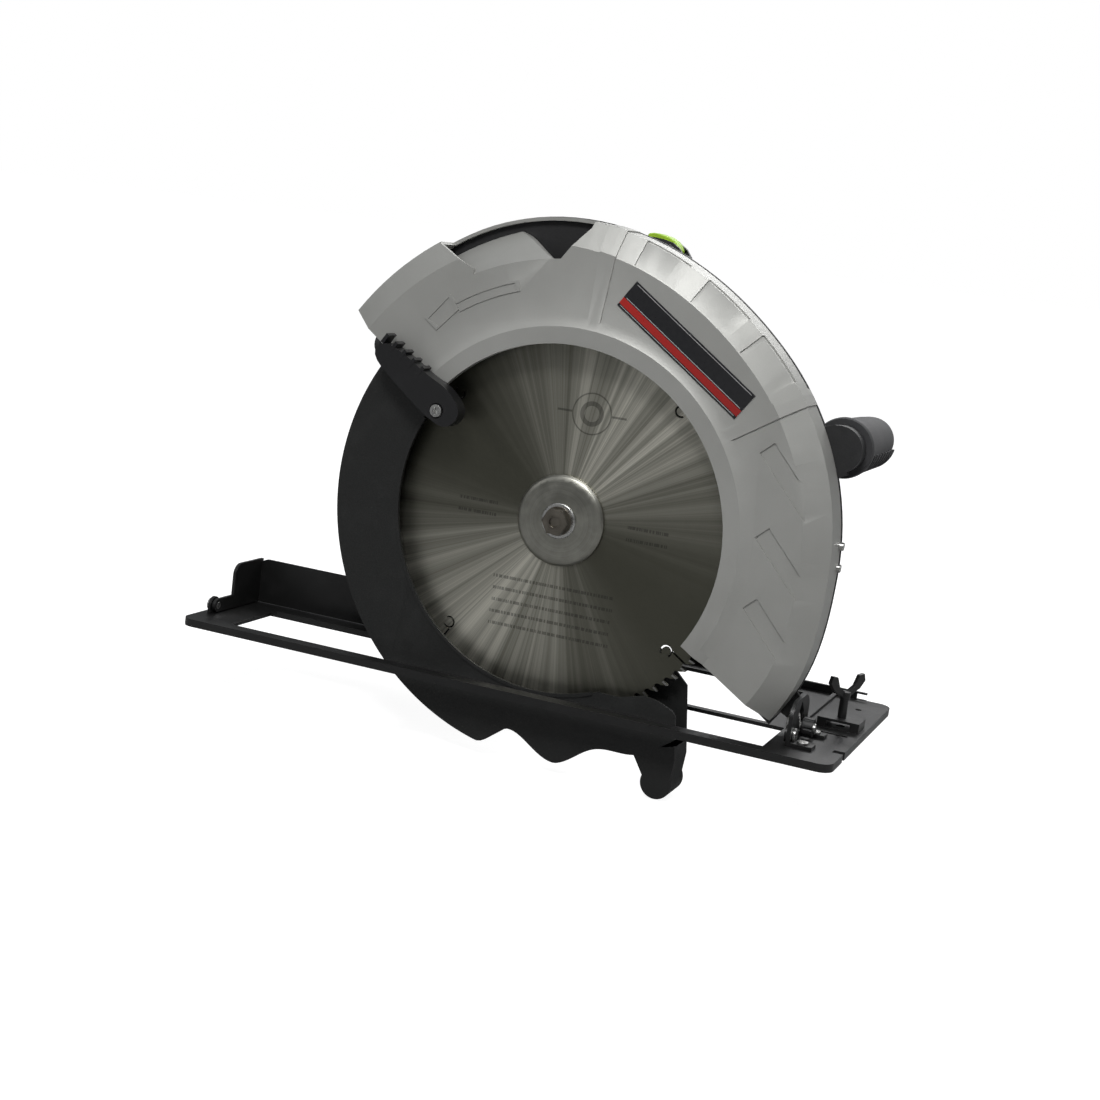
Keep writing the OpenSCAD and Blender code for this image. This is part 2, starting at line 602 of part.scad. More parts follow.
// ---- gear housing and motor ----
housing_ears = [[-45, -6], [45, -6], [45, 62], [-45, 62]];
module housing_area(grow) {
  circle(r = 34.6 + grow);
  translate([0, motor_z]) circle(r = 31 + grow);
  translate([-32 - grow, 0]) square([64 + 2 * grow, motor_z]);
}
module gear_housing() color(dark) difference() {
  union() {
    ext_y(20.05, 48.4) housing_area(0);
    ext_y(20.05, 26) for (p = housing_ears) union() {
      translate(p) circle(r = 7.2, $fn = 48);
      translate(p * 0.5) rotate(atan2(p[1], p[0])) translate([-10, -6.8])
        square([norm(p) * 0.5 + 10, 13.6]);
    }
    // round seat of the motor housing
    ext_y(42, 48.4) translate([0, motor_z]) circle(r = motor_r);
    // arm of the depth clamp
    ext_y(40, 49.5) difference() {
      union() {
        translate(depth_bolt) circle(r = 11, $fn = 64);
        polygon([[depth_bolt[0], depth_bolt[1] + 11], [-24, 66], [-24, -4],
          [depth_bolt[0], depth_bolt[1] - 11]]);
      }
      translate([0, motor_z]) circle(r = motor_r - 8);
    }
  }
  rod_y(31.6, 27, 42.9);
  rod_y(27.1, 10, 27.1);
  rod_y(8.05, 42, 47.35);
  rod_y(17, 22.2, 30, 0, motor_z);
  rod_y(9.4, 25, 46, 0, motor_z);
  rod_y(14.02, 42.3, 60, 0, motor_z);
  for (p = housing_ears) rod_y(2.3, 10, 30, p[0], p[1]);
  for (k = [0:3]) motor_screw_at(k) rod_y(1.64, 40, 60);
  rod_y(motor_r + 0.05, 48.4, 60, 0, motor_z);
  rod_y(4.05, 30, 60, depth_bolt[0], depth_bolt[1]);
  // bore of the spindle lock button
  rod_x(3.05, 28, 50, 36.5, 0);
  // hollow pockets that lighten the arm
  ext_y(44, 52) polygon([[-96, 38], [-62, 54], [-62, 14], [-96, 21]]);
}
module housing_screws() color(zinc) for (p = housing_ears)
  pan_screw(1.85, 28.2, 17.65, p[0], p[1], 2.2);
module armature_shaft() color(zinc) union() {
  translate([0, 0, motor_z]) {
    spin_y() polygon([[0, 29], [4.2, 29], [4.2, 40.2], [5.98, 40.6], [5.98, 48.4], [7, 48.8],
      [7, 142], [4, 142.4], [4, 168], [0, 168]]);
    rotate([0, 180 / pinion_z, 0]) ext_y(29.4, 40) difference() {
      circle(r = gear_m * (pinion_z + 0.6) / 2, $fn = 48);
      gear_teeth(pinion_z, gear_m * (pinion_z + 0.6) / 2, 2.1);
    }
  }
}
module motor_bearings() color(zinc) union() {
  race(6, 14, 42.4, 48.3, 0, motor_z);
  race(4.02, 11, 158, 165, 0, motor_z);
}
module cooling_fan() color(dark) translate([0, 0, motor_z]) difference() {
  union() {
    rod_y(12, 50.6, 62);
    rod_y(36, 60.4, 62);
    for (k = [0:13]) rotate([0, k * 360 / 14, 0]) translate([11, 52.6, -0.9])
      cube([24.5, 8, 1.8]);
  }
  rod_y(7.04, 49, 64);
}
module armature_core() color(steel) translate([0, 0, motor_z]) ext_y(74, 118) difference() {
  circle(r = 24.6);
  circle(r = 7.04);
  for (k = [0:11]) rotate(k * 30) translate([17, -1.6]) square([9, 3.2]);
}
module armature_windings() color(copper) translate([0, 0, motor_z]) union() {
  for (y = [67.5, 118.1]) ext_y(y, y + 6.4) difference() { circle(r = 22); circle(r = 8.4); }
  for (k = [0:11]) rotate([0, k * 30, 0]) translate([17.4, 73.8, -1.2]) cube([4.4, 44.5, 2.4]);
}
module commutator() color(copper) translate([0, 0, motor_z]) ext_y(128, 141) difference() {
  circle(r = 14.4);
  circle(r = 7.04);
  for (k = [0:23]) rotate(k * 15) translate([13.4, -0.3]) square([2, 0.6]);
}
module vent_slots(a, b, n, from, to) {
  for (k = [0:n - 1]) rotate([0, from + (to - from) * k / (n - 1), 0])
    translate([motor_r - 8, a, -1.5]) cube([16, b - a, 3]);
}
module motor_housing() color(dark) difference() {
  translate([0, 0, motor_z]) union() {
    spin_y() polygon([[43.6, 48.8], [motor_r, 48.8], [motor_r, 56], [motor_r - 0.8, 58],
      [motor_r - 0.8, 143], [motor_r, 145], [motor_r, 149.6], [43.6, 149.6]]);
    for (k = [0:3]) rotate([0, 45 + 90 * k, 0]) translate([36.6, 48.8, -4]) cube([7.8, 16, 8]);
    // mounting ribs of the field core
    for (k = [0:3]) rotate([0, 90 * k, 0]) translate([39.8, 70, -3]) cube([4.4, 50, 6]);
    // posts of the end cap screws
    for (k = [-1, 1]) rod_y(4.2, 124, 149.6, 0, k * 41);
  }
  translate([0, 0, motor_z]) vent_slots(50.6, 60, 7, 150, 250);
  translate([0, 0, motor_z]) vent_slots(128, 140, 6, -20, 60);
  for (k = [0:3]) motor_screw_at(k) rod_y(1.7, 40, 66);
  for (k = [-1, 1]) rod_y(1.98, 122, 155, 0, motor_z + k * 41);
  // brush holder openings
  for (s = [-1, 1]) rod_x(7.05, s > 0 ? 38 : -52, s > 0 ? 52 : -38, 134.5, motor_z);
}
module motor_screw_at(k) {
  translate([40.2 * cos(45 + 90 * k), 0, motor_z + 40.2 * sin(45 + 90 * k)]) children();
}
module motor_screws() color(zinc) for (k = [0:3]) motor_screw_at(k)
  pan_screw(1.6, 67, 43.2, 0, 0, 2.15);
module field_core() color(steel) translate([0, 0, motor_z]) ext_y(72, 120) difference() {
  circle(r = 39.6);
  circle(r = 26);
  for (s = [-1, 1]) translate([s > 0 ? 24 : -35, -13.2]) square([11, 26.4]);
}
module field_windings() color(copper) translate([0, 0, motor_z]) {
  for (s = [0, 180]) rotate([0, s, 0]) for (z = [-1, 1])
    translate([26.8, 66.5, z * 9.5 - 3.2]) cube([7.9, 59, 6.4]);
  for (s = [0, 180], y = [66.5, 120.3]) rotate([0, s, 0]) translate([26.8, y, -6.5])
    cube([7.9, 5.2, 13]);
}
module motor_end_cap() color(dark) difference() {
  translate([0, 0, motor_z]) union() {
    spin_y() polygon([[0, 170], [11.2, 170], [11.2, 157.2], [13.6, 157.2], [13.6, 171], [36, 171],
      [40, 168], [42.6, 160], [42.8, 149.8], [motor_r, 149.8], [motor_r, 160], [45, 169],
      [39, 174.4], [30, 176.4], [0, 176.4]]);
    for (k = [-1, 1]) rod_y(4.2, 149.8, 170, 0, k * 41);
  }
  // air slots
  translate([0, 0, motor_z]) for (k = [0:4], s = [-1, 1])
    translate([s > 0 ? 16 : -36, 165, -22 + k * 10]) cube([20, 20, 3.4]);
  for (k = [-1, 1]) rod_y(2.05, 145, 185, 0, motor_z + k * 41);
  for (k = [-1, 1]) rod_y(3.95, 169.3, 180, 0, motor_z + k * 41);
}
module end_cap_screws() color(zinc) for (k = [-1, 1])
  pan_screw(1.95, 172.4, 130, 0, motor_z + k * 41, 3);
module brush_holders() color(copper) for (s = [-1, 1]) difference() {
  rod_x(7, s > 0 ? 16.2 : -44.6, s > 0 ? 44.6 : -16.2, 134.5, motor_z);
  translate([s > 0 ? 10 : -44, 134.5 - 4.05, motor_z - 3.05]) cube([34, 8.1, 6.1]);
}
module carbon_brushes() color(dark) for (s = [-1, 1])
  translate([s > 0 ? 14.7 : -32.7, 134.5 - 4, motor_z - 3]) cube([18, 8, 6]);
module brush_caps() color(black) for (s = [-1, 1]) difference() {
  rod_x(6.9, s > 0 ? 44.7 : -48.3, s > 0 ? 48.3 : -44.7, 134.5, motor_z);
  translate([s > 0 ? 47.4 : -49, 128.5, motor_z - 0.8]) cube([1.6, 12, 1.6]);
}
// ---- handle ----
grip_out = soften(soften([[44, 76], [44, 150], [40, 184], [14, 190], [-20, 184], [-60, 172],
  [-108, 148], [-146, 116], [-160, 88], [-150, 66], [-120, 58], [-72, 60], [-44, 62],
  [-34, 62], [0, 74], [26, 64]]));
grip_in = soften(soften([[4, 112], [8, 146], [-2, 156], [-50, 144], [-94, 124], [-122, 102],
  [-124, 86], [-98, 84], [-62, 92], [-30, 104]]));
module grip_half(y0, y1, side) {
  s = side;
  difference() {
    union() {
      ext_y(min(y0, y0 + s * 9), max(y0, y0 + s * 9)) polygon(grip_out);
      ext_y(min(y0 + s * 8.9, y0 + s * 13), max(y0 + s * 8.9, y0 + s * 13))
        polygon(shift_out(grip_out, -1.6));
      ext_y(min(y0 + s * 12.9, y1), max(y0 + s * 12.9, y1)) polygon(shift_out(grip_out, -4.4));
    }
    ext_y(min(y0 - s, y0 + s * 9), max(y0 - s, y0 + s * 9)) polygon(grip_in);
    ext_y(min(y0 + s * 8.9, y0 + s * 13), max(y0 + s * 8.9, y0 + s * 13))
      polygon(shift_out(grip_in, -1.6));
    ext_y(min(y0 + s * 12.9, y1 + s), max(y0 + s * 12.9, y1 + s)) polygon(shift_out(grip_in, -4.4));
    // hollow inside for the switch and leads
    ext_y(min(y0 - s, y0 + s * 8), max(y0 - s, y0 + s * 8)) {
      polygon([[6, 160], [36, 150], [36, 182], [10, 185], [-24, 178], [-62, 165], [-60, 151]]);
      translate([-143, 92]) circle(r = 9, $fn = 40);
    }
    // round seat on the motor housing
    rod_y(motor_r + 0.05, 40, 100, 0, motor_z);
    // opening for the trigger
    ext_y(min(y0 - s, y0 + s * 7.3), max(y0 - s, y0 + s * 7.3))
      polygon([[2, 126], [-54, 112], [-62, 152], [-8, 172], [3, 172]]);
    // opening for the release button
    ext_y(min(y0 - s, y0 + s * 6.3), max(y0 - s, y0 + s * 6.3))
      translate([5.7, 176]) square([32.6, 24]);
    for (p = grip_screw_spots) rod_y(side < 0 ? 1.9 : 2.1, 40, 100, p[0], p[1]);
    for (p = grip_screw_spots) if (side > 0) rod_y(4.1, y1 - 3, 100, p[0], p[1]);
    rod_x(9.55, -180, -146, 70, 90);
    rod_x(12.1, -180, -155.5, 70, 90);
  }
}
grip_screw_spots = [[26, 132], [28, 100], [-84, 150], [-134, 78], [-88, 72]];
module handle_left_half() color(black) grip_half(69.95, 53.6, -1);
module handle_right_half() color(black) grip_half(70.05, 86.4, 1);
module handle_screws() color(zinc) for (p = grip_screw_spots)
  pan_screw(1.88, 85.6, 58, p[0], p[1], 2.2);
trigger_pin = [-8, 162];
module trigger() color(black) difference() {
  union() {
    ext_y(63, 77) polygon(soften([[-12, 167.5], [-2.5, 166.5], [-3, 158], [-12, 148], [-20, 136.5],
      [-30, 131.5], [-44, 129], [-50, 132], [-45, 142], [-49, 150], [-30, 157]]));
  }
  rod_y(2.05, 50, 90, trigger_pin[0], trigger_pin[1]);
}
module switch_body() color(dark) difference() {
  union() {
    ext_y(62.2, 77.8) polygon([[-16, 170.6], [-60, 157], [-62, 163.6], [-18, 178]]);
    rod_y(2, 62.1, 77.9, trigger_pin[0], trigger_pin[1]);
    for (y = [62.1, 77.3]) ext_y(y, y + 0.6) polygon([[-11, 159.4], [-5, 160.4], [-6, 168],
      [-16, 174], [-24, 171]]);
  }
}
module lock_off_button() color(lime) union() {
  ext_y(64, 76) polygon(soften([[8.5, 177.4], [34.5, 177.4], [34.5, 183], [29, 189], [17, 191.6],
    [10, 190.4]]));
}
module spindle_lock_button() color(black) union() {
  rod_x(3, 32, 40, 36.5, 0);
  rod_x(6, 38.5, 43, 36.5, 0);
}
module front_grip() color(dark) translate([front_grip[0], 0, front_grip[1]]) difference() {
  union() {
    spin_y() polygon([[5.05, 29.8], [18.6, 29.8], [19.4, 31.5], [19.4, 35], [17.4, 37.5],
      [17.6, 60], [17, 84], [16, 106], [15.4, 113], [13.6, 118.6], [10, 121.6], [5.05, 122.6]]);
    for (k = [0:7]) spin_y_low(45 + k * 8.2);
  }
  rod_y(9, 116, 130);
}
module spin_y_low(y) {
  // finger ridge on the lower side
  intersection() {
    spin_y() polygon([[12, y - 1.4], [18.7, y - 1], [18.7, y + 1], [12, y + 1.4]]);
    translate([-30, y - 5, -30]) cube([60, 10, 27]);
  }
}
module front_grip_bolt() color(zinc) translate([front_grip[0], 0, front_grip[1]]) difference() {
  union() {
    rod_y(5, 19, 117);
    hex_head(8, 116.1, 121);
  }
}
// ---- depth clamp and small parts ----
module depth_clamp_bolt() color(zinc) union() {
  rod_y(3.2, 39, 62, depth_bolt[0], depth_bolt[1]);
  hex_head(7, 34.5, 39.9, depth_bolt[0], depth_bolt[1]);
  rod_y(4, 39.8, 49.4, depth_bolt[0], depth_bolt[1]);
}
module depth_lock_lever() color(black) difference() {
  union() {
    rod_y(9, 53, 62, depth_bolt[0], depth_bolt[1]);
    ext_y(54, 60) polygon(soften([[depth_bolt[0] - 7, depth_bolt[1] - 6],
      [depth_bolt[0] + 2, depth_bolt[1] - 9.6], [depth_bolt[0] + 24, depth_bolt[1] - 13],
      [depth_bolt[0] + 47, depth_bolt[1] - 20], [depth_bolt[0] + 50, depth_bolt[1] - 8],
      [depth_bolt[0] + 26, depth_bolt[1] - 1], [depth_bolt[0] + 2, depth_bolt[1] + 8]]));
  }
  rod_y(3.26, 50, 70, depth_bolt[0], depth_bolt[1]);
}
module cord_inlet_gland() color(black) difference() {
  union() {
    rod_x(9.5, -168, -146.4, 70, 90);
    rod_x(12, -158.4, -155.6, 70, 90);
    for (k = [0:2]) rod_x(8, -172 - k * 5, -169 - k * 5, 70, 90);
    rod_x(6.2, -184, -150, 70, 90);
  }
  rod_x(4, -200, -140, 70, 90);
}

base_plate();
front_bevel_bracket();
rear_bevel_bracket();
bracket_rivets();
bevel_clamp_knob();
rip_guide_wing_screw();
bevel_pivot_pins();
tilt_frame();
bevel_clamp_bolt();
depth_pivot_pin();
saw_blade();
outer_flange();
inner_flange();
arbor_bolt();
bolt_washer();
spindle();
large_gear();
upper_guard_cover();
guard_back_half();
guard_label();
guard_screws();
lower_guard();
lower_guard_lever();
lever_screw();
guard_return_spring();
guard_retaining_ring();
guard_rest_buffer();
bearing_retainer();
retainer_screws();
spindle_bearing();
spindle_bush();
gear_housing();
housing_screws();
armature_shaft();
armature_core();
armature_windings();
commutator();
cooling_fan();
motor_bearings();
motor_housing();
motor_screws();
field_core();
field_windings();
motor_end_cap();
end_cap_screws();
brush_holders();
carbon_brushes();
brush_caps();
handle_left_half();
handle_right_half();
handle_screws();
trigger();
switch_body();
lock_off_button();
spindle_lock_button();
front_grip();
front_grip_bolt();
depth_lock_lever();
depth_clamp_bolt();
cord_inlet_gland();
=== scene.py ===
# Circular saw: finishes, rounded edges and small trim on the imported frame.
import json
from math import cos, sin, pi, radians
import bpy, bmesh
from mathutils import Matrix, Vector


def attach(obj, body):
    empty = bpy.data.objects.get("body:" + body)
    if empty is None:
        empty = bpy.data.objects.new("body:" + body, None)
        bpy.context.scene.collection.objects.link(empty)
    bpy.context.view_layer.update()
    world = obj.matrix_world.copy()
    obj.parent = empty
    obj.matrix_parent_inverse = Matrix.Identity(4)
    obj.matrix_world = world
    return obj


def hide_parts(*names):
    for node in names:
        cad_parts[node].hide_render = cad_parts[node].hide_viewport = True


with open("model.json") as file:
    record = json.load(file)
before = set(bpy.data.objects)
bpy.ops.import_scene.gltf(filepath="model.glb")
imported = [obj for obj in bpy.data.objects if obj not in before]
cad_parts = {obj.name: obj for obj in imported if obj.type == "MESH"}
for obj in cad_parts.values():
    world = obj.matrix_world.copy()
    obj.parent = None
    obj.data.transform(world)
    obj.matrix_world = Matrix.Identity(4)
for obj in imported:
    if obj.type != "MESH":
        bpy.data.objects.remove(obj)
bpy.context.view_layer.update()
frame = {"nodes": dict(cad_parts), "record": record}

print("frame loaded:", len(frame["nodes"]), "nodes")

# shader helpers
def plug(tree, socket, value):
    # a wire is linked, anything else is typed into the socket
    if isinstance(value, Wire):
        tree.links.new(value.socket, socket)
    else:
        socket.default_value = value

class Wire:
    # one socket that adds its own Math nodes
    def __init__(self, tree, socket):
        self.tree, self.socket = tree, socket
    def calc(self, operation, *values):
        node = self.tree.nodes.new("ShaderNodeMath")
        node.operation = operation
        for place, value in enumerate(values):
            plug(self.tree, node.inputs[place], value)
        return Wire(self.tree, node.outputs[0])
    def __add__(self, other): return self.calc("ADD", self, other)
    def __radd__(self, other): return self.calc("ADD", other, self)
    def __sub__(self, other): return self.calc("SUBTRACT", self, other)
    def __rsub__(self, other): return self.calc("SUBTRACT", other, self)
    def __mul__(self, other): return self.calc("MULTIPLY", self, other)
    def __rmul__(self, other): return self.calc("MULTIPLY", other, self)
    def __truediv__(self, other): return self.calc("DIVIDE", self, other)
    def __pow__(self, other): return self.calc("POWER", self, other)
    def __gt__(self, other): return self.calc("GREATER_THAN", self, other)
    def __lt__(self, other): return self.calc("LESS_THAN", self, other)
    def size(self): return self.calc("ABSOLUTE", self)
    def limit(self):
        wire = self.calc("ADD", self, 0.0)
        wire.socket.node.use_clamp = True
        return wire

class Finish:
    # a material with one principled shader
    def __init__(self, name):
        self.material = bpy.data.materials.new(name)
        self.material.use_nodes = True
        self.tree = self.material.node_tree
        self.tree.nodes.clear()
        self.shader = self.tree.nodes.new("ShaderNodeBsdfPrincipled")
        sheet = self.tree.nodes.new("ShaderNodeOutputMaterial")
        self.tree.links.new(self.shader.outputs[0], sheet.inputs[0])
        self.point = Wire(self.tree, self.add("ShaderNodeTexCoord").outputs["Object"])
    def add(self, kind, settings=None, values=None):
        node = self.tree.nodes.new(kind)
        for key, value in (settings or {}).items():
            setattr(node, key, value)
        for key, value in (values or {}).items():
            plug(self.tree, node.inputs[key], value)
        return node
    def out(self, kind, settings=None, values=None, socket=0):
        return Wire(self.tree, self.add(kind, settings, values).outputs[socket])
    def noise(self, perMetre, detail=3.0, rough=0.55, vector=None):
        return self.out("ShaderNodeTexNoise", None, {"Vector": vector or self.point,
            "Scale": perMetre, "Detail": detail, "Roughness": rough})
    def cells(self, perMetre):
        return self.out("ShaderNodeTexVoronoi", None, {"Vector": self.point, "Scale": perMetre})
    def parts(self, vector=None):
        node = self.add("ShaderNodeSeparateXYZ", None, {"Vector": vector or self.point})
        return [Wire(self.tree, out) for out in node.outputs]
    def mapped(self, location, rotation):
        return self.out("ShaderNodeMapping", {"vector_type": "TEXTURE"}, {"Vector": self.point,
            "Location": location, "Rotation": rotation})
    def blend(self, factor, low, high):
        node = self.tree.nodes.new("ShaderNodeMix")
        node.data_type = "RGBA"
        plug(self.tree, node.inputs[0], factor)
        for place, value in ((6, low), (7, high)):
            plug(self.tree, node.inputs[place], value if isinstance(value, Wire) else (*value, 1.0))
        return Wire(self.tree, node.outputs[2])
    def wave(self, distance, pitch):
        # runs from 0 to 1 and back once every pitch
        turned = self.out("ShaderNodeMath", {"operation": "SINE"}, {0: distance * (2 * pi / pitch)})
        return turned * 0.5 + 0.5
    def spread(self, factor, low, high):
        # stretches a noise between two limits to the full 0 to 1
        return ((factor - low) / (high - low)).limit()
    def relief(self, height, depth, strength=1.0):
        normal = self.out("ShaderNodeBump", None, {"Height": height, "Strength": strength,
            "Distance": depth})
        plug(self.tree, self.shader.inputs["Normal"], normal)
    def set(self, **values):
        for key, value in values.items():
            socket = self.shader.inputs[key.replace("_", " ")]
            if isinstance(value, tuple) and len(value) == 3:
                value = (*value, 1.0)
            plug(self.tree, socket, value)
        return self

# finishes
def silverPaint():
    look = {"light": (0.46, 0.46, 0.44), "dark": (0.37, 0.37, 0.35), "flake": 5200, "peel": 900}
    f = Finish("silverPaint")
    cloud = f.spread(f.noise(14, 3), 0.35, 0.65)
    flake = f.spread(f.noise(look["flake"], 1), 0.42, 0.66)
    tone = f.blend(cloud * 0.45 + flake * 0.4, look["dark"], look["light"])
    rub = f.spread(f.noise(60, 5, 0.7), 0.52, 0.75)
    f.relief(f.noise(look["peel"], 2) * 0.6 + flake * 0.2, 0.00006, 0.35)
    return f.set(Base_Color=tone, Metallic=0.38, Roughness=0.43 + rub * 0.1 + flake * 0.06,
        Coat_Weight=0.05, Coat_Roughness=0.3)

def powderCoat(name, tone, gloss, grain, depth):
    f = Finish(name)
    fine = f.noise(grain, 2)
    pits = f.cells(grain * 0.7)
    dust = f.spread(f.noise(34, 5, 0.65), 0.5, 0.8)
    low = tuple(v * 0.75 for v in tone)
    high = tuple(v * 1.5 for v in tone)
    colour = f.blend(dust, f.blend(fine, low, tone), high)
    f.relief(fine * 0.6 + pits * 0.5, depth, 0.6)
    return f.set(Base_Color=colour, Metallic=0.0, Roughness=gloss + dust * 0.14 + fine * 0.08,
        Specular_IOR_Level=0.5)

def bladeSteel():
    # blade colours: dark and light are the steel inside the painted highlight fans, the shade colour is
    # painted shade outside them, and the fan turn and edge place the painted highlight
    look = {"dark": (0.30, 0.295, 0.245), "light": (1.0, 0.975, 0.865), "streaks": 8,
        "paintedShade": (0.115, 0.114, 0.090), "highlightFanTurn": 60, "highlightFanEdge": 1.35,
        "tip": (0.34, 0.34, 0.33), "ink": (0.05, 0.05, 0.045), "rows": 125.0}
    f = Finish("bladeSteel")
    x, y, z = f.parts()
    reach = (x * x + z * z) ** 0.5
    around = f.out("ShaderNodeCombineXYZ", None, {"X": x / reach, "Y": z / reach})
    streak = f.noise(look["streaks"], 6, 0.72, around)
    fine = f.noise(120, 3, 0.6, around)
    turned = f.noise(2600, 2, 0.5, f.out("ShaderNodeCombineXYZ", None, {"X": reach}))
    rays = f.spread(streak * 0.85 + fine * 0.15, 0.34, 0.68)
    # painted highlight: two opposite bright fans of reflection painted into the colour, as a brushed disc
    # shows under one lamp, with painted shade between them
    along = (x * cos(radians(look["highlightFanTurn"])) + z * sin(radians(look["highlightFanTurn"]))) / reach
    paintedHighlightFan = (along * along * (0.62 + rays * 0.55)).limit() ** look["highlightFanEdge"]
    # brushing streaks and turning marks set the tone; they are real marks, and inside the fans they also
    # paint streaks of highlight
    tone = f.blend(rays * 0.72 + turned * 0.22, look["dark"], look["light"])
    tone = f.blend(paintedHighlightFan, look["paintedShade"], tone)
    # carbide tips stand wider than the body
    tip = (y.size() > 0.00096) * (reach > 0.118)
    tone = f.blend(tip, tone, look["tip"])
    # soft printed bars round the arbor in place of wording
    row = f.out("ShaderNodeMath", {"operation": "FRACT"}, {0: z * look["rows"]})
    line = f.out("ShaderNodeMath", {"operation": "FLOOR"}, {0: z * look["rows"]})
    dash = f.noise(900, 1, 0.5, f.out("ShaderNodeCombineXYZ", None, {"X": x, "Y": line * 0.05}))
    below = (z < -0.043) * (z > -0.083) * (x.size() < 0.043)
    beside = (x.size() > 0.046) * (x.size() < 0.074) * (z.size() < 0.0085)
    ink = (row > 0.3) * (row < 0.56) * (dash > 0.47) * (below + beside)
    # a plain ringed mark above the flange
    across, over = x - 0.012, z - 0.072
    spot = (across * across + over * over) ** 0.5
    mark = (spot > 0.0128) * (spot < 0.0138) + (spot > 0.0052) * (spot < 0.0082) + \
        (over.size() < 0.0007) * (across.size() < 0.024) * (spot > 0.0138)
    ink = (ink + mark).limit() * (y < 0)
    tone = f.blend(ink * 0.5, tone, look["ink"])
    f.relief(turned * 0.7 + fine * 0.3, 0.00002, 0.4)
    return f.set(Base_Color=tone, Metallic=1.0, Roughness=0.36 + rays * 0.12 + turned * 0.05)

def turnedSteel(name, dark, light, rough, scale=1800, axis="Y"):
    f = Finish(name)
    x, y, z = f.parts()
    reach = (x * x + z * z) ** 0.5 if axis == "Y" else (y * y + z * z) ** 0.5
    rings = f.noise(scale, 2, 0.5, f.out("ShaderNodeCombineXYZ", None, {"X": reach, "Y": y * 0.4}))
    spots = f.spread(f.noise(90, 4, 0.6), 0.4, 0.7)
    f.relief(rings, 0.00002, 0.4)
    return f.set(Base_Color=f.blend(rings * 0.6 + spots * 0.4, dark, light), Metallic=1.0,
        Roughness=rough + spots * 0.1)

def zincPlate():
    f = Finish("zincPlate")
    haze = f.spread(f.noise(420, 4, 0.6), 0.35, 0.7)
    grain = f.noise(3600, 2)
    f.relief(grain, 0.00002, 0.3)
    return f.set(Base_Color=f.blend(haze, (0.5, 0.5, 0.49), (0.68, 0.68, 0.66)), Metallic=1.0,
        Roughness=0.24 + haze * 0.14)

def nylon(name, tone, gloss=0.5, depth=0.00005):
    f = Finish(name)
    erode = f.noise(2400, 3, 0.6)
    pits = f.cells(1500)
    wear = f.spread(f.noise(26, 5, 0.65), 0.5, 0.78)
    low = tuple(v * 0.82 for v in tone)
    high = tuple(min(1, v * 1.35 + 0.004) for v in tone)
    f.relief(erode * 0.6 + pits * 0.5, depth, 0.55)
    return f.set(Base_Color=f.blend(wear, f.blend(erode, low, tone), high), Metallic=0.0,
        Roughness=gloss + wear * 0.1 + erode * 0.08)

def softRubber(name, tone):
    f = Finish(name)
    skin = f.noise(1800, 4, 0.65)
    bloom = f.spread(f.noise(45, 5, 0.6), 0.45, 0.8)
    high = tuple(v * 1.6 + 0.006 for v in tone)
    f.relief(skin * 0.8 + f.cells(2600) * 0.3, 0.00007, 0.6)
    return f.set(Base_Color=f.blend(bloom, tone, high), Metallic=0.0, Roughness=0.68 + bloom * 0.1,
        Sheen_Weight=0.08)

def castAlloy():
    f = Finish("castAlloy")
    sand = f.noise(1300, 4, 0.65)
    stain = f.spread(f.noise(40, 4), 0.4, 0.75)
    f.relief(sand * 0.8 + f.cells(900) * 0.2, 0.00012, 0.6)
    return f.set(Base_Color=f.blend(stain, (0.36, 0.36, 0.36), (0.5, 0.5, 0.49)), Metallic=0.9,
        Roughness=0.42 + sand * 0.16)

def laminations():
    f = Finish("laminations")
    sheets = f.wave(f.parts()[1], 0.0008)
    stain = f.spread(f.noise(130, 4), 0.35, 0.7)
    f.relief(sheets, 0.00008, 0.7)
    return f.set(Base_Color=f.blend(sheets * 0.5 + stain * 0.5, (0.15, 0.15, 0.155),
        (0.33, 0.33, 0.33)), Metallic=0.9, Roughness=0.4 + stain * 0.15)

def copperWire():
    f = Finish("copperWire")
    x, y, z = f.parts()
    turns = f.wave(x + z * 0.6, 0.0009)
    varnish = f.spread(f.noise(160, 4), 0.35, 0.7)
    f.relief(turns, 0.00025, 0.8)
    return f.set(Base_Color=f.blend(turns * 0.5 + varnish * 0.5, (0.30, 0.10, 0.035),
        (0.66, 0.29, 0.11)), Metallic=0.85, Roughness=0.3 + varnish * 0.12)

def labelFilm():
    look = {"centre": (0.0736, 0, 0.1225), "turn": 34.7, "red": (0.42, 0.022, 0.018)}
    f = Finish("labelFilm")
    flat = f.mapped(look["centre"], (0, radians(look["turn"]), 0))
    x, y, z = f.parts(flat)
    body = f.blend(f.noise(500, 3), (0.010, 0.010, 0.012), (0.022, 0.022, 0.024))
    fade = ((x + 0.052) * 9.6).limit()
    red = (z < -0.0032) * (z > -0.0078)
    tone = f.blend(red, body, f.blend(fade * 0.35, look["red"], (0.10, 0.008, 0.008)))
    line = ((z + 0.0025).size() < 0.00022) + ((z + 0.0086).size() < 0.0002) + \
        ((z - 0.0084).size() < 0.0002)
    ends = (x.size() < 0.0502)
    tone = f.blend(line.limit() * ends * 0.75, tone, (0.55, 0.55, 0.55))
    f.relief(f.noise(3000, 2), 0.00001, 0.3)
    return f.set(Base_Color=tone, Metallic=0.0, Roughness=0.24 + f.noise(700, 3) * 0.12,
        Coat_Weight=0.3, Coat_Roughness=0.12)

def carbonBlock():
    f = Finish("carbonBlock")
    grit = f.noise(2200, 4, 0.7)
    f.relief(grit, 0.00006, 0.6)
    return f.set(Base_Color=f.blend(grit, (0.02, 0.02, 0.022), (0.07, 0.07, 0.07)), Metallic=0.2,
        Roughness=0.5 + grit * 0.2)

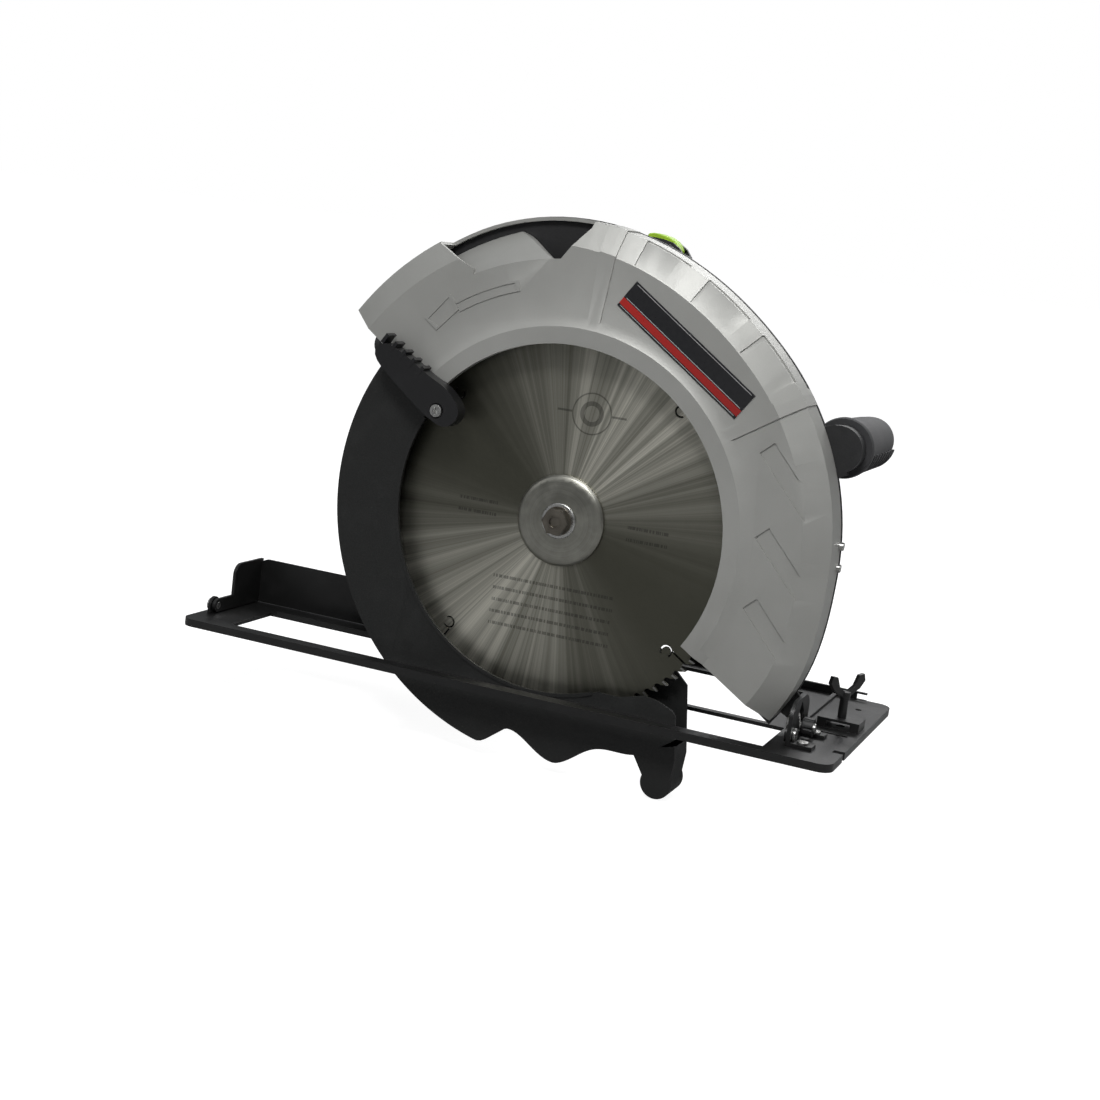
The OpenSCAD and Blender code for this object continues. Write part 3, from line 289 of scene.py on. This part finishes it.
finishes = {
    "silver": silverPaint(),
    "guardBlack": powderCoat("guardPowder", (0.012, 0.0125, 0.012), 0.5, 1300, 0.00022),
    "baseBlack": powderCoat("basePaint", (0.010, 0.010, 0.010), 0.32, 2600, 0.00005),
    "castBlack": powderCoat("castPaint", (0.018, 0.018, 0.019), 0.45, 1100, 0.00012),
    "blade": bladeSteel(),
    "flange": turnedSteel("turnedFlange", (0.26, 0.257, 0.225), (0.46, 0.455, 0.41), 0.34),
    "steel": turnedSteel("machinedSteel", (0.30, 0.30, 0.30), (0.52, 0.52, 0.51), 0.26, 2600),
    "zinc": zincPlate(),
    "bolt": turnedSteel("boltSteel", (0.13, 0.118, 0.098), (0.30, 0.275, 0.235), 0.34, 2200),
    "nylon": nylon("blackNylon", (0.017, 0.017, 0.018), 0.46),
    "lever": nylon("leverNylon", (0.011, 0.011, 0.012), 0.40),
    "lime": nylon("limeNylon", (0.36, 0.60, 0.03), 0.42),
    "rubber": softRubber("mouldedRubber", (0.016, 0.016, 0.017)),
    "grip": softRubber("gripRubber", (0.035, 0.035, 0.037)),
    "alloy": castAlloy(),
    "core": laminations(),
    "copper": copperWire(),
    "bronze": turnedSteel("turnedBronze", (0.38, 0.25, 0.10), (0.62, 0.44, 0.20), 0.32),
    "label": labelFilm(),
    "carbon": carbonBlock(),
    "scale": nylon("scalePaint", (0.62, 0.62, 0.60), 0.5, 0.00002),
}
print("finishes made:", len(finishes))

# every node gets a finish; the ones in view also get rounded edges
# node: (finish, edge radius in mm, 0 keeps the plain node)
nodeLooks = {
    "upper_guard_cover": ("silver", 0.7), "guard_back_half": ("castBlack", 0.35),
    "guard_label": ("label", 0.12), "guard_screws": ("zinc", 0.18),
    "lower_guard": ("guardBlack", 0.45), "lower_guard_lever": ("lever", 0.8),
    "lever_screw": ("zinc", 0.2), "guard_return_spring": ("steel", 0),
    "guard_retaining_ring": ("steel", 0), "guard_rest_buffer": ("rubber", 0.3),
    "saw_blade": ("blade", 0), "outer_flange": ("flange", 0.2), "inner_flange": ("flange", 0.2),
    "arbor_bolt": ("bolt", 0.4), "bolt_washer": ("zinc", 0.15), "spindle": ("steel", 0.2),
    "large_gear": ("steel", 0.1), "bearing_retainer": ("alloy", 0.3), "retainer_screws": ("zinc", 0.15),
    "spindle_bearing": ("steel", 0), "spindle_bush": ("bronze", 0), "gear_housing": ("castBlack", 0.6),
    "housing_screws": ("zinc", 0.15), "armature_shaft": ("steel", 0), "armature_core": ("core", 0),
    "armature_windings": ("copper", 0.6), "commutator": ("copper", 0), "cooling_fan": ("nylon", 0.2),
    "motor_bearings": ("steel", 0), "motor_housing": ("nylon", 0.4), "motor_screws": ("zinc", 0),
    "field_core": ("core", 0), "field_windings": ("copper", 0.8), "motor_end_cap": ("nylon", 0.6),
    "end_cap_screws": ("zinc", 0.2), "brush_holders": ("bronze", 0), "carbon_brushes": ("carbon", 0),
    "brush_caps": ("nylon", 0.25), "handle_left_half": ("nylon", 0.6),
    "handle_right_half": ("nylon", 0.6), "handle_screws": ("zinc", 0.15), "trigger": ("nylon", 0.9),
    "switch_body": ("nylon", 0), "lock_off_button": ("lime", 0.9), "spindle_lock_button": ("nylon", 0.4),
    "front_grip": ("grip", 0.5), "front_grip_bolt": ("zinc", 0.3), "base_plate": ("baseBlack", 0.5),
    "front_bevel_bracket": ("baseBlack", 0.3), "rear_bevel_bracket": ("baseBlack", 0.3),
    "bracket_rivets": ("zinc", 0.3), "bevel_clamp_knob": ("nylon", 0.3),
    "rip_guide_wing_screw": ("baseBlack", 0.5), "bevel_pivot_pins": ("zinc", 0.3),
    "tilt_frame": ("baseBlack", 0.35), "bevel_clamp_bolt": ("zinc", 0.2),
    "depth_pivot_pin": ("zinc", 0.3), "depth_lock_lever": ("nylon", 0.8),
    "depth_clamp_bolt": ("zinc", 0.3), "cord_inlet_gland": ("rubber", 0.3),
}
bodyOf = {node: body for body, nodes in frame["record"]["behaviour"]["bodies"].items() for node in nodes}

# merge distance in metres, angles in degrees; the painted guard is creased more finely
edges = {"merge": 2e-6, "flat": 0.4, "crease": 30, "silverCrease": 17, "roundFrom": 34, "segments": 2}

def rounded(node, look, radius):
    # a merged copy of the node with its sharp edges rounded
    work = bmesh.new()
    work.from_mesh(frame["nodes"][node].data)
    bmesh.ops.remove_doubles(work, verts=work.verts, dist=edges["merge"])
    bmesh.ops.dissolve_limit(work, angle_limit=radians(edges["flat"]), verts=work.verts,
        edges=work.edges)
    mesh = bpy.data.meshes.new(node + "_finished")
    work.to_mesh(mesh)
    work.free()
    mesh.shade_smooth()
    mesh.set_sharp_from_angle(angle=radians(edges["silverCrease" if look == "silver" else "crease"]))
    piece = bpy.data.objects.new(node + "_finished", mesh)
    bpy.context.scene.collection.objects.link(piece)
    mesh.materials.clear()
    mesh.materials.append(finishes[look].material)
    edge = piece.modifiers.new("roundedEdges", "BEVEL")
    edge.width = radius / 1000
    edge.segments = edges["segments"]
    edge.limit_method = "ANGLE"
    edge.angle_limit = radians(edges["roundFrom"])
    edge.use_clamp_overlap = True
    edge.harden_normals = True
    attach(piece, bodyOf[node])
    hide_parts(node)
    return piece

for node, (look, radius) in nodeLooks.items():
    if radius:
        rounded(node, look, radius)
        continue
    mesh = frame["nodes"][node].data
    mesh.materials.clear()
    mesh.materials.append(finishes[look].material)
print("nodes finished:", len(nodeLooks))

# small trim that the solids leave out
def addPiece(name, work, look, body):
    bmesh.ops.recalc_face_normals(work, faces=work.faces)
    mesh = bpy.data.meshes.new(name)
    work.to_mesh(mesh)
    work.free()
    mesh.shade_smooth()
    mesh.set_sharp_from_angle(angle=radians(edges["crease"]))
    mesh.materials.append(finishes[look].material)
    piece = bpy.data.objects.new(name, mesh)
    bpy.context.scene.collection.objects.link(piece)
    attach(piece, body)
    print("trim:", name, len(mesh.polygons))
    return piece

def block(work, middle, size, turned):
    place = Matrix.Translation(middle) @ turned @ Matrix.Diagonal((*size, 1))
    bmesh.ops.create_cube(work, size=1, matrix=place)

# angles in degrees; every so many marks there is a long one, and proud is how far the paint stands out
depthScale = {"pivot": (0.152, -0.086), "start": 0.2933, "from": 158, "to": 180, "step": 2,
    "face": 0.052, "proud": 0.00012, "long": 0.0044, "short": 0.0028, "longEvery": 5, "wide": 0.0005}

def depthTicks():
    work = bmesh.new()
    k = depthScale
    for count, angle in enumerate(range(k["from"], k["to"] + 1, k["step"])):
        length = k["long"] if count % k["longEvery"] == 0 else k["short"]
        reach = k["start"] + length / 2
        a = radians(angle)
        block(work, (k["pivot"][0] + reach * cos(a), k["face"], k["pivot"][1] + reach * sin(a)),
            (length, 2 * k["proud"], k["wide"]), Matrix.Rotation(-a, 4, "Y"))
    addPiece("depth_scale", work, "scale", "tilt")
depthTicks()

bevelScale = {"centre": (-0.004, -0.106), "end": 0.0148, "from": 0, "to": 60, "step": 5,
    "face": 0.1737, "proud": 0.00012, "long": 0.0024, "short": 0.0014, "longEvery": 3, "wide": 0.0004}

def bevelTicks():
    work = bmesh.new()
    k = bevelScale
    for count, angle in enumerate(range(k["from"], k["to"] + 1, k["step"])):
        length = k["long"] if count % k["longEvery"] == 0 else k["short"]
        reach = k["end"] - length / 2
        a = radians(angle)
        block(work, (k["face"], k["centre"][0] + reach * cos(a), k["centre"][1] + reach * sin(a)),
            (2 * k["proud"], length, k["wide"]), Matrix.Rotation(a, 4, "X"))
    addPiece("bevel_scale", work, "scale", "base")
bevelTicks()

# stage, lights and camera
studio = {"floorZ": -0.1664, "floorHalf": 40, "floorTone": 0.34, "floorGlow": 0.93, "overhead": 0.42,
    "horizon": 0.06, "fullFrom": 0.85, "skyTint": (0.96, 0.98, 1.0), "backdrop": 1.0}

def floorSheet():
    f = Finish("studioFloor")
    level = studio["floorTone"]
    tone = f.blend(f.noise(3, 2), (level - 0.01,) * 3, (level + 0.01,) * 3)
    f.set(Base_Color=tone, Roughness=0.9, Specular_IOR_Level=0.1)
    # the floor glows for the camera only, so that dark metal stays dark
    tree = f.tree
    glow, pick = tree.nodes.new("ShaderNodeEmission"), tree.nodes.new("ShaderNodeMixShader")
    glow.inputs[1].default_value = studio["floorGlow"]
    both, out = tree.nodes.new("ShaderNodeAddShader"), tree.nodes["Material Output"]
    tree.links.new(f.shader.outputs[0], both.inputs[0])
    tree.links.new(glow.outputs[0], both.inputs[1])
    tree.links.new(tree.nodes.new("ShaderNodeLightPath").outputs["Is Camera Ray"], pick.inputs[0])
    tree.links.new(f.shader.outputs[0], pick.inputs[1])
    tree.links.new(both.outputs[0], pick.inputs[2])
    tree.links.new(pick.outputs[0], out.inputs[0])
    work = bmesh.new()
    bmesh.ops.create_grid(work, x_segments=1, y_segments=1, size=studio["floorHalf"],
        matrix=Matrix.Translation((0, 0, studio["floorZ"])))
    mesh = bpy.data.meshes.new("studio_floor")
    work.to_mesh(mesh)
    work.free()
    mesh.materials.append(f.material)
    sheet = bpy.data.objects.new("studio_floor", mesh)
    bpy.context.scene.collection.objects.link(sheet)
floorSheet()

def softbox(name, place, aim, wide, high, watts):
    lamp = bpy.data.lights.new(name, "AREA")
    lamp.shape = "RECTANGLE"
    lamp.size, lamp.size_y, lamp.energy = wide, high, watts
    holder = bpy.data.objects.new(name, lamp)
    holder.location = place
    holder.rotation_euler = (Vector(aim) - Vector(place)).to_track_quat("-Z", "Y").to_euler()
    bpy.context.scene.collection.objects.link(holder)

# name: (place, aim, width and height in metres, watts)
softboxes = {
    "topBox": ((0.18, -1.10, 1.30), (0, 0, 0), 0.6, 0.4, 17),
    "leftBox": ((-1.6, -1.2, 0.8), (0, 0, 0), 0.8, 0.8, 1.6),
    "rightBox": ((1.5, 0.1, 1.2), (0.1, 0, 0), 0.8, 1.0, 6),
    "backBox": ((0.2, 1.6, 1.2), (0, 0.05, 0), 1.4, 0.9, 16),
}
for name, lamp in softboxes.items():
    softbox(name, *lamp)

def studioSky():
    # bright overhead and dim at the horizon, so that metal keeps its contrast
    world = bpy.data.worlds.new("studioSky")
    bpy.context.scene.world = world
    world.use_nodes = True
    tree = world.node_tree
    tree.nodes.clear()
    def add(kind): return tree.nodes.new(kind)
    split = add("ShaderNodeSeparateXYZ")
    tree.links.new(add("ShaderNodeTexCoord").outputs["Generated"], split.inputs[0])
    ramp = add("ShaderNodeMapRange")
    ramp.interpolation_type = "SMOOTHSTEP"
    for place, value in ((1, 0.0), (2, studio["fullFrom"]), (3, studio["horizon"]),
            (4, studio["overhead"])):
        ramp.inputs[place].default_value = value
    tree.links.new(split.outputs[2], ramp.inputs[0])
    lit, seen = add("ShaderNodeBackground"), add("ShaderNodeBackground")
    lit.inputs[0].default_value = (*studio["skyTint"], 1)
    tree.links.new(ramp.outputs[0], lit.inputs[1])
    seen.inputs[0].default_value = (studio["backdrop"],) * 3 + (1,)
    pick = add("ShaderNodeMixShader")
    tree.links.new(add("ShaderNodeLightPath").outputs["Is Camera Ray"], pick.inputs[0])
    tree.links.new(lit.outputs[0], pick.inputs[1])
    tree.links.new(seen.outputs[0], pick.inputs[2])
    tree.links.new(pick.outputs[0], add("ShaderNodeOutputWorld").inputs[0])
studioSky()
bpy.context.scene.view_settings.view_transform = "Standard"
print("stage set")

# viewing angle: turn, rise and lean in degrees, place in metres
shot = {"place": (0.40863, -1.06399, 0.18680), "turn": 21.50, "rise": 9.40, "lean": 7.08,
    "lens": 57.84, "sensor": 36, "shiftX": 0.0032, "shiftY": -0.0263}
turn, rise, lean = (radians(shot[k]) for k in ("turn", "rise", "lean"))
back = Vector((sin(turn) * cos(rise), -cos(turn) * cos(rise), sin(rise)))
level = Vector((cos(turn), sin(turn), 0))
upright = back.cross(level)
across = cos(lean) * level + sin(lean) * upright
up = -sin(lean) * level + cos(lean) * upright
cameraData = bpy.data.cameras.new("shot")
cameraData.lens, cameraData.sensor_width = shot["lens"], shot["sensor"]
cameraData.shift_x, cameraData.shift_y = shot["shiftX"], shot["shiftY"]
camera = bpy.data.objects.new("shot", cameraData)
camera.matrix_world = Matrix.Translation(shot["place"]) @ Matrix((across, up, back)).transposed().to_4x4()
bpy.context.scene.collection.objects.link(camera)
bpy.context.scene.camera = camera

print("ready")
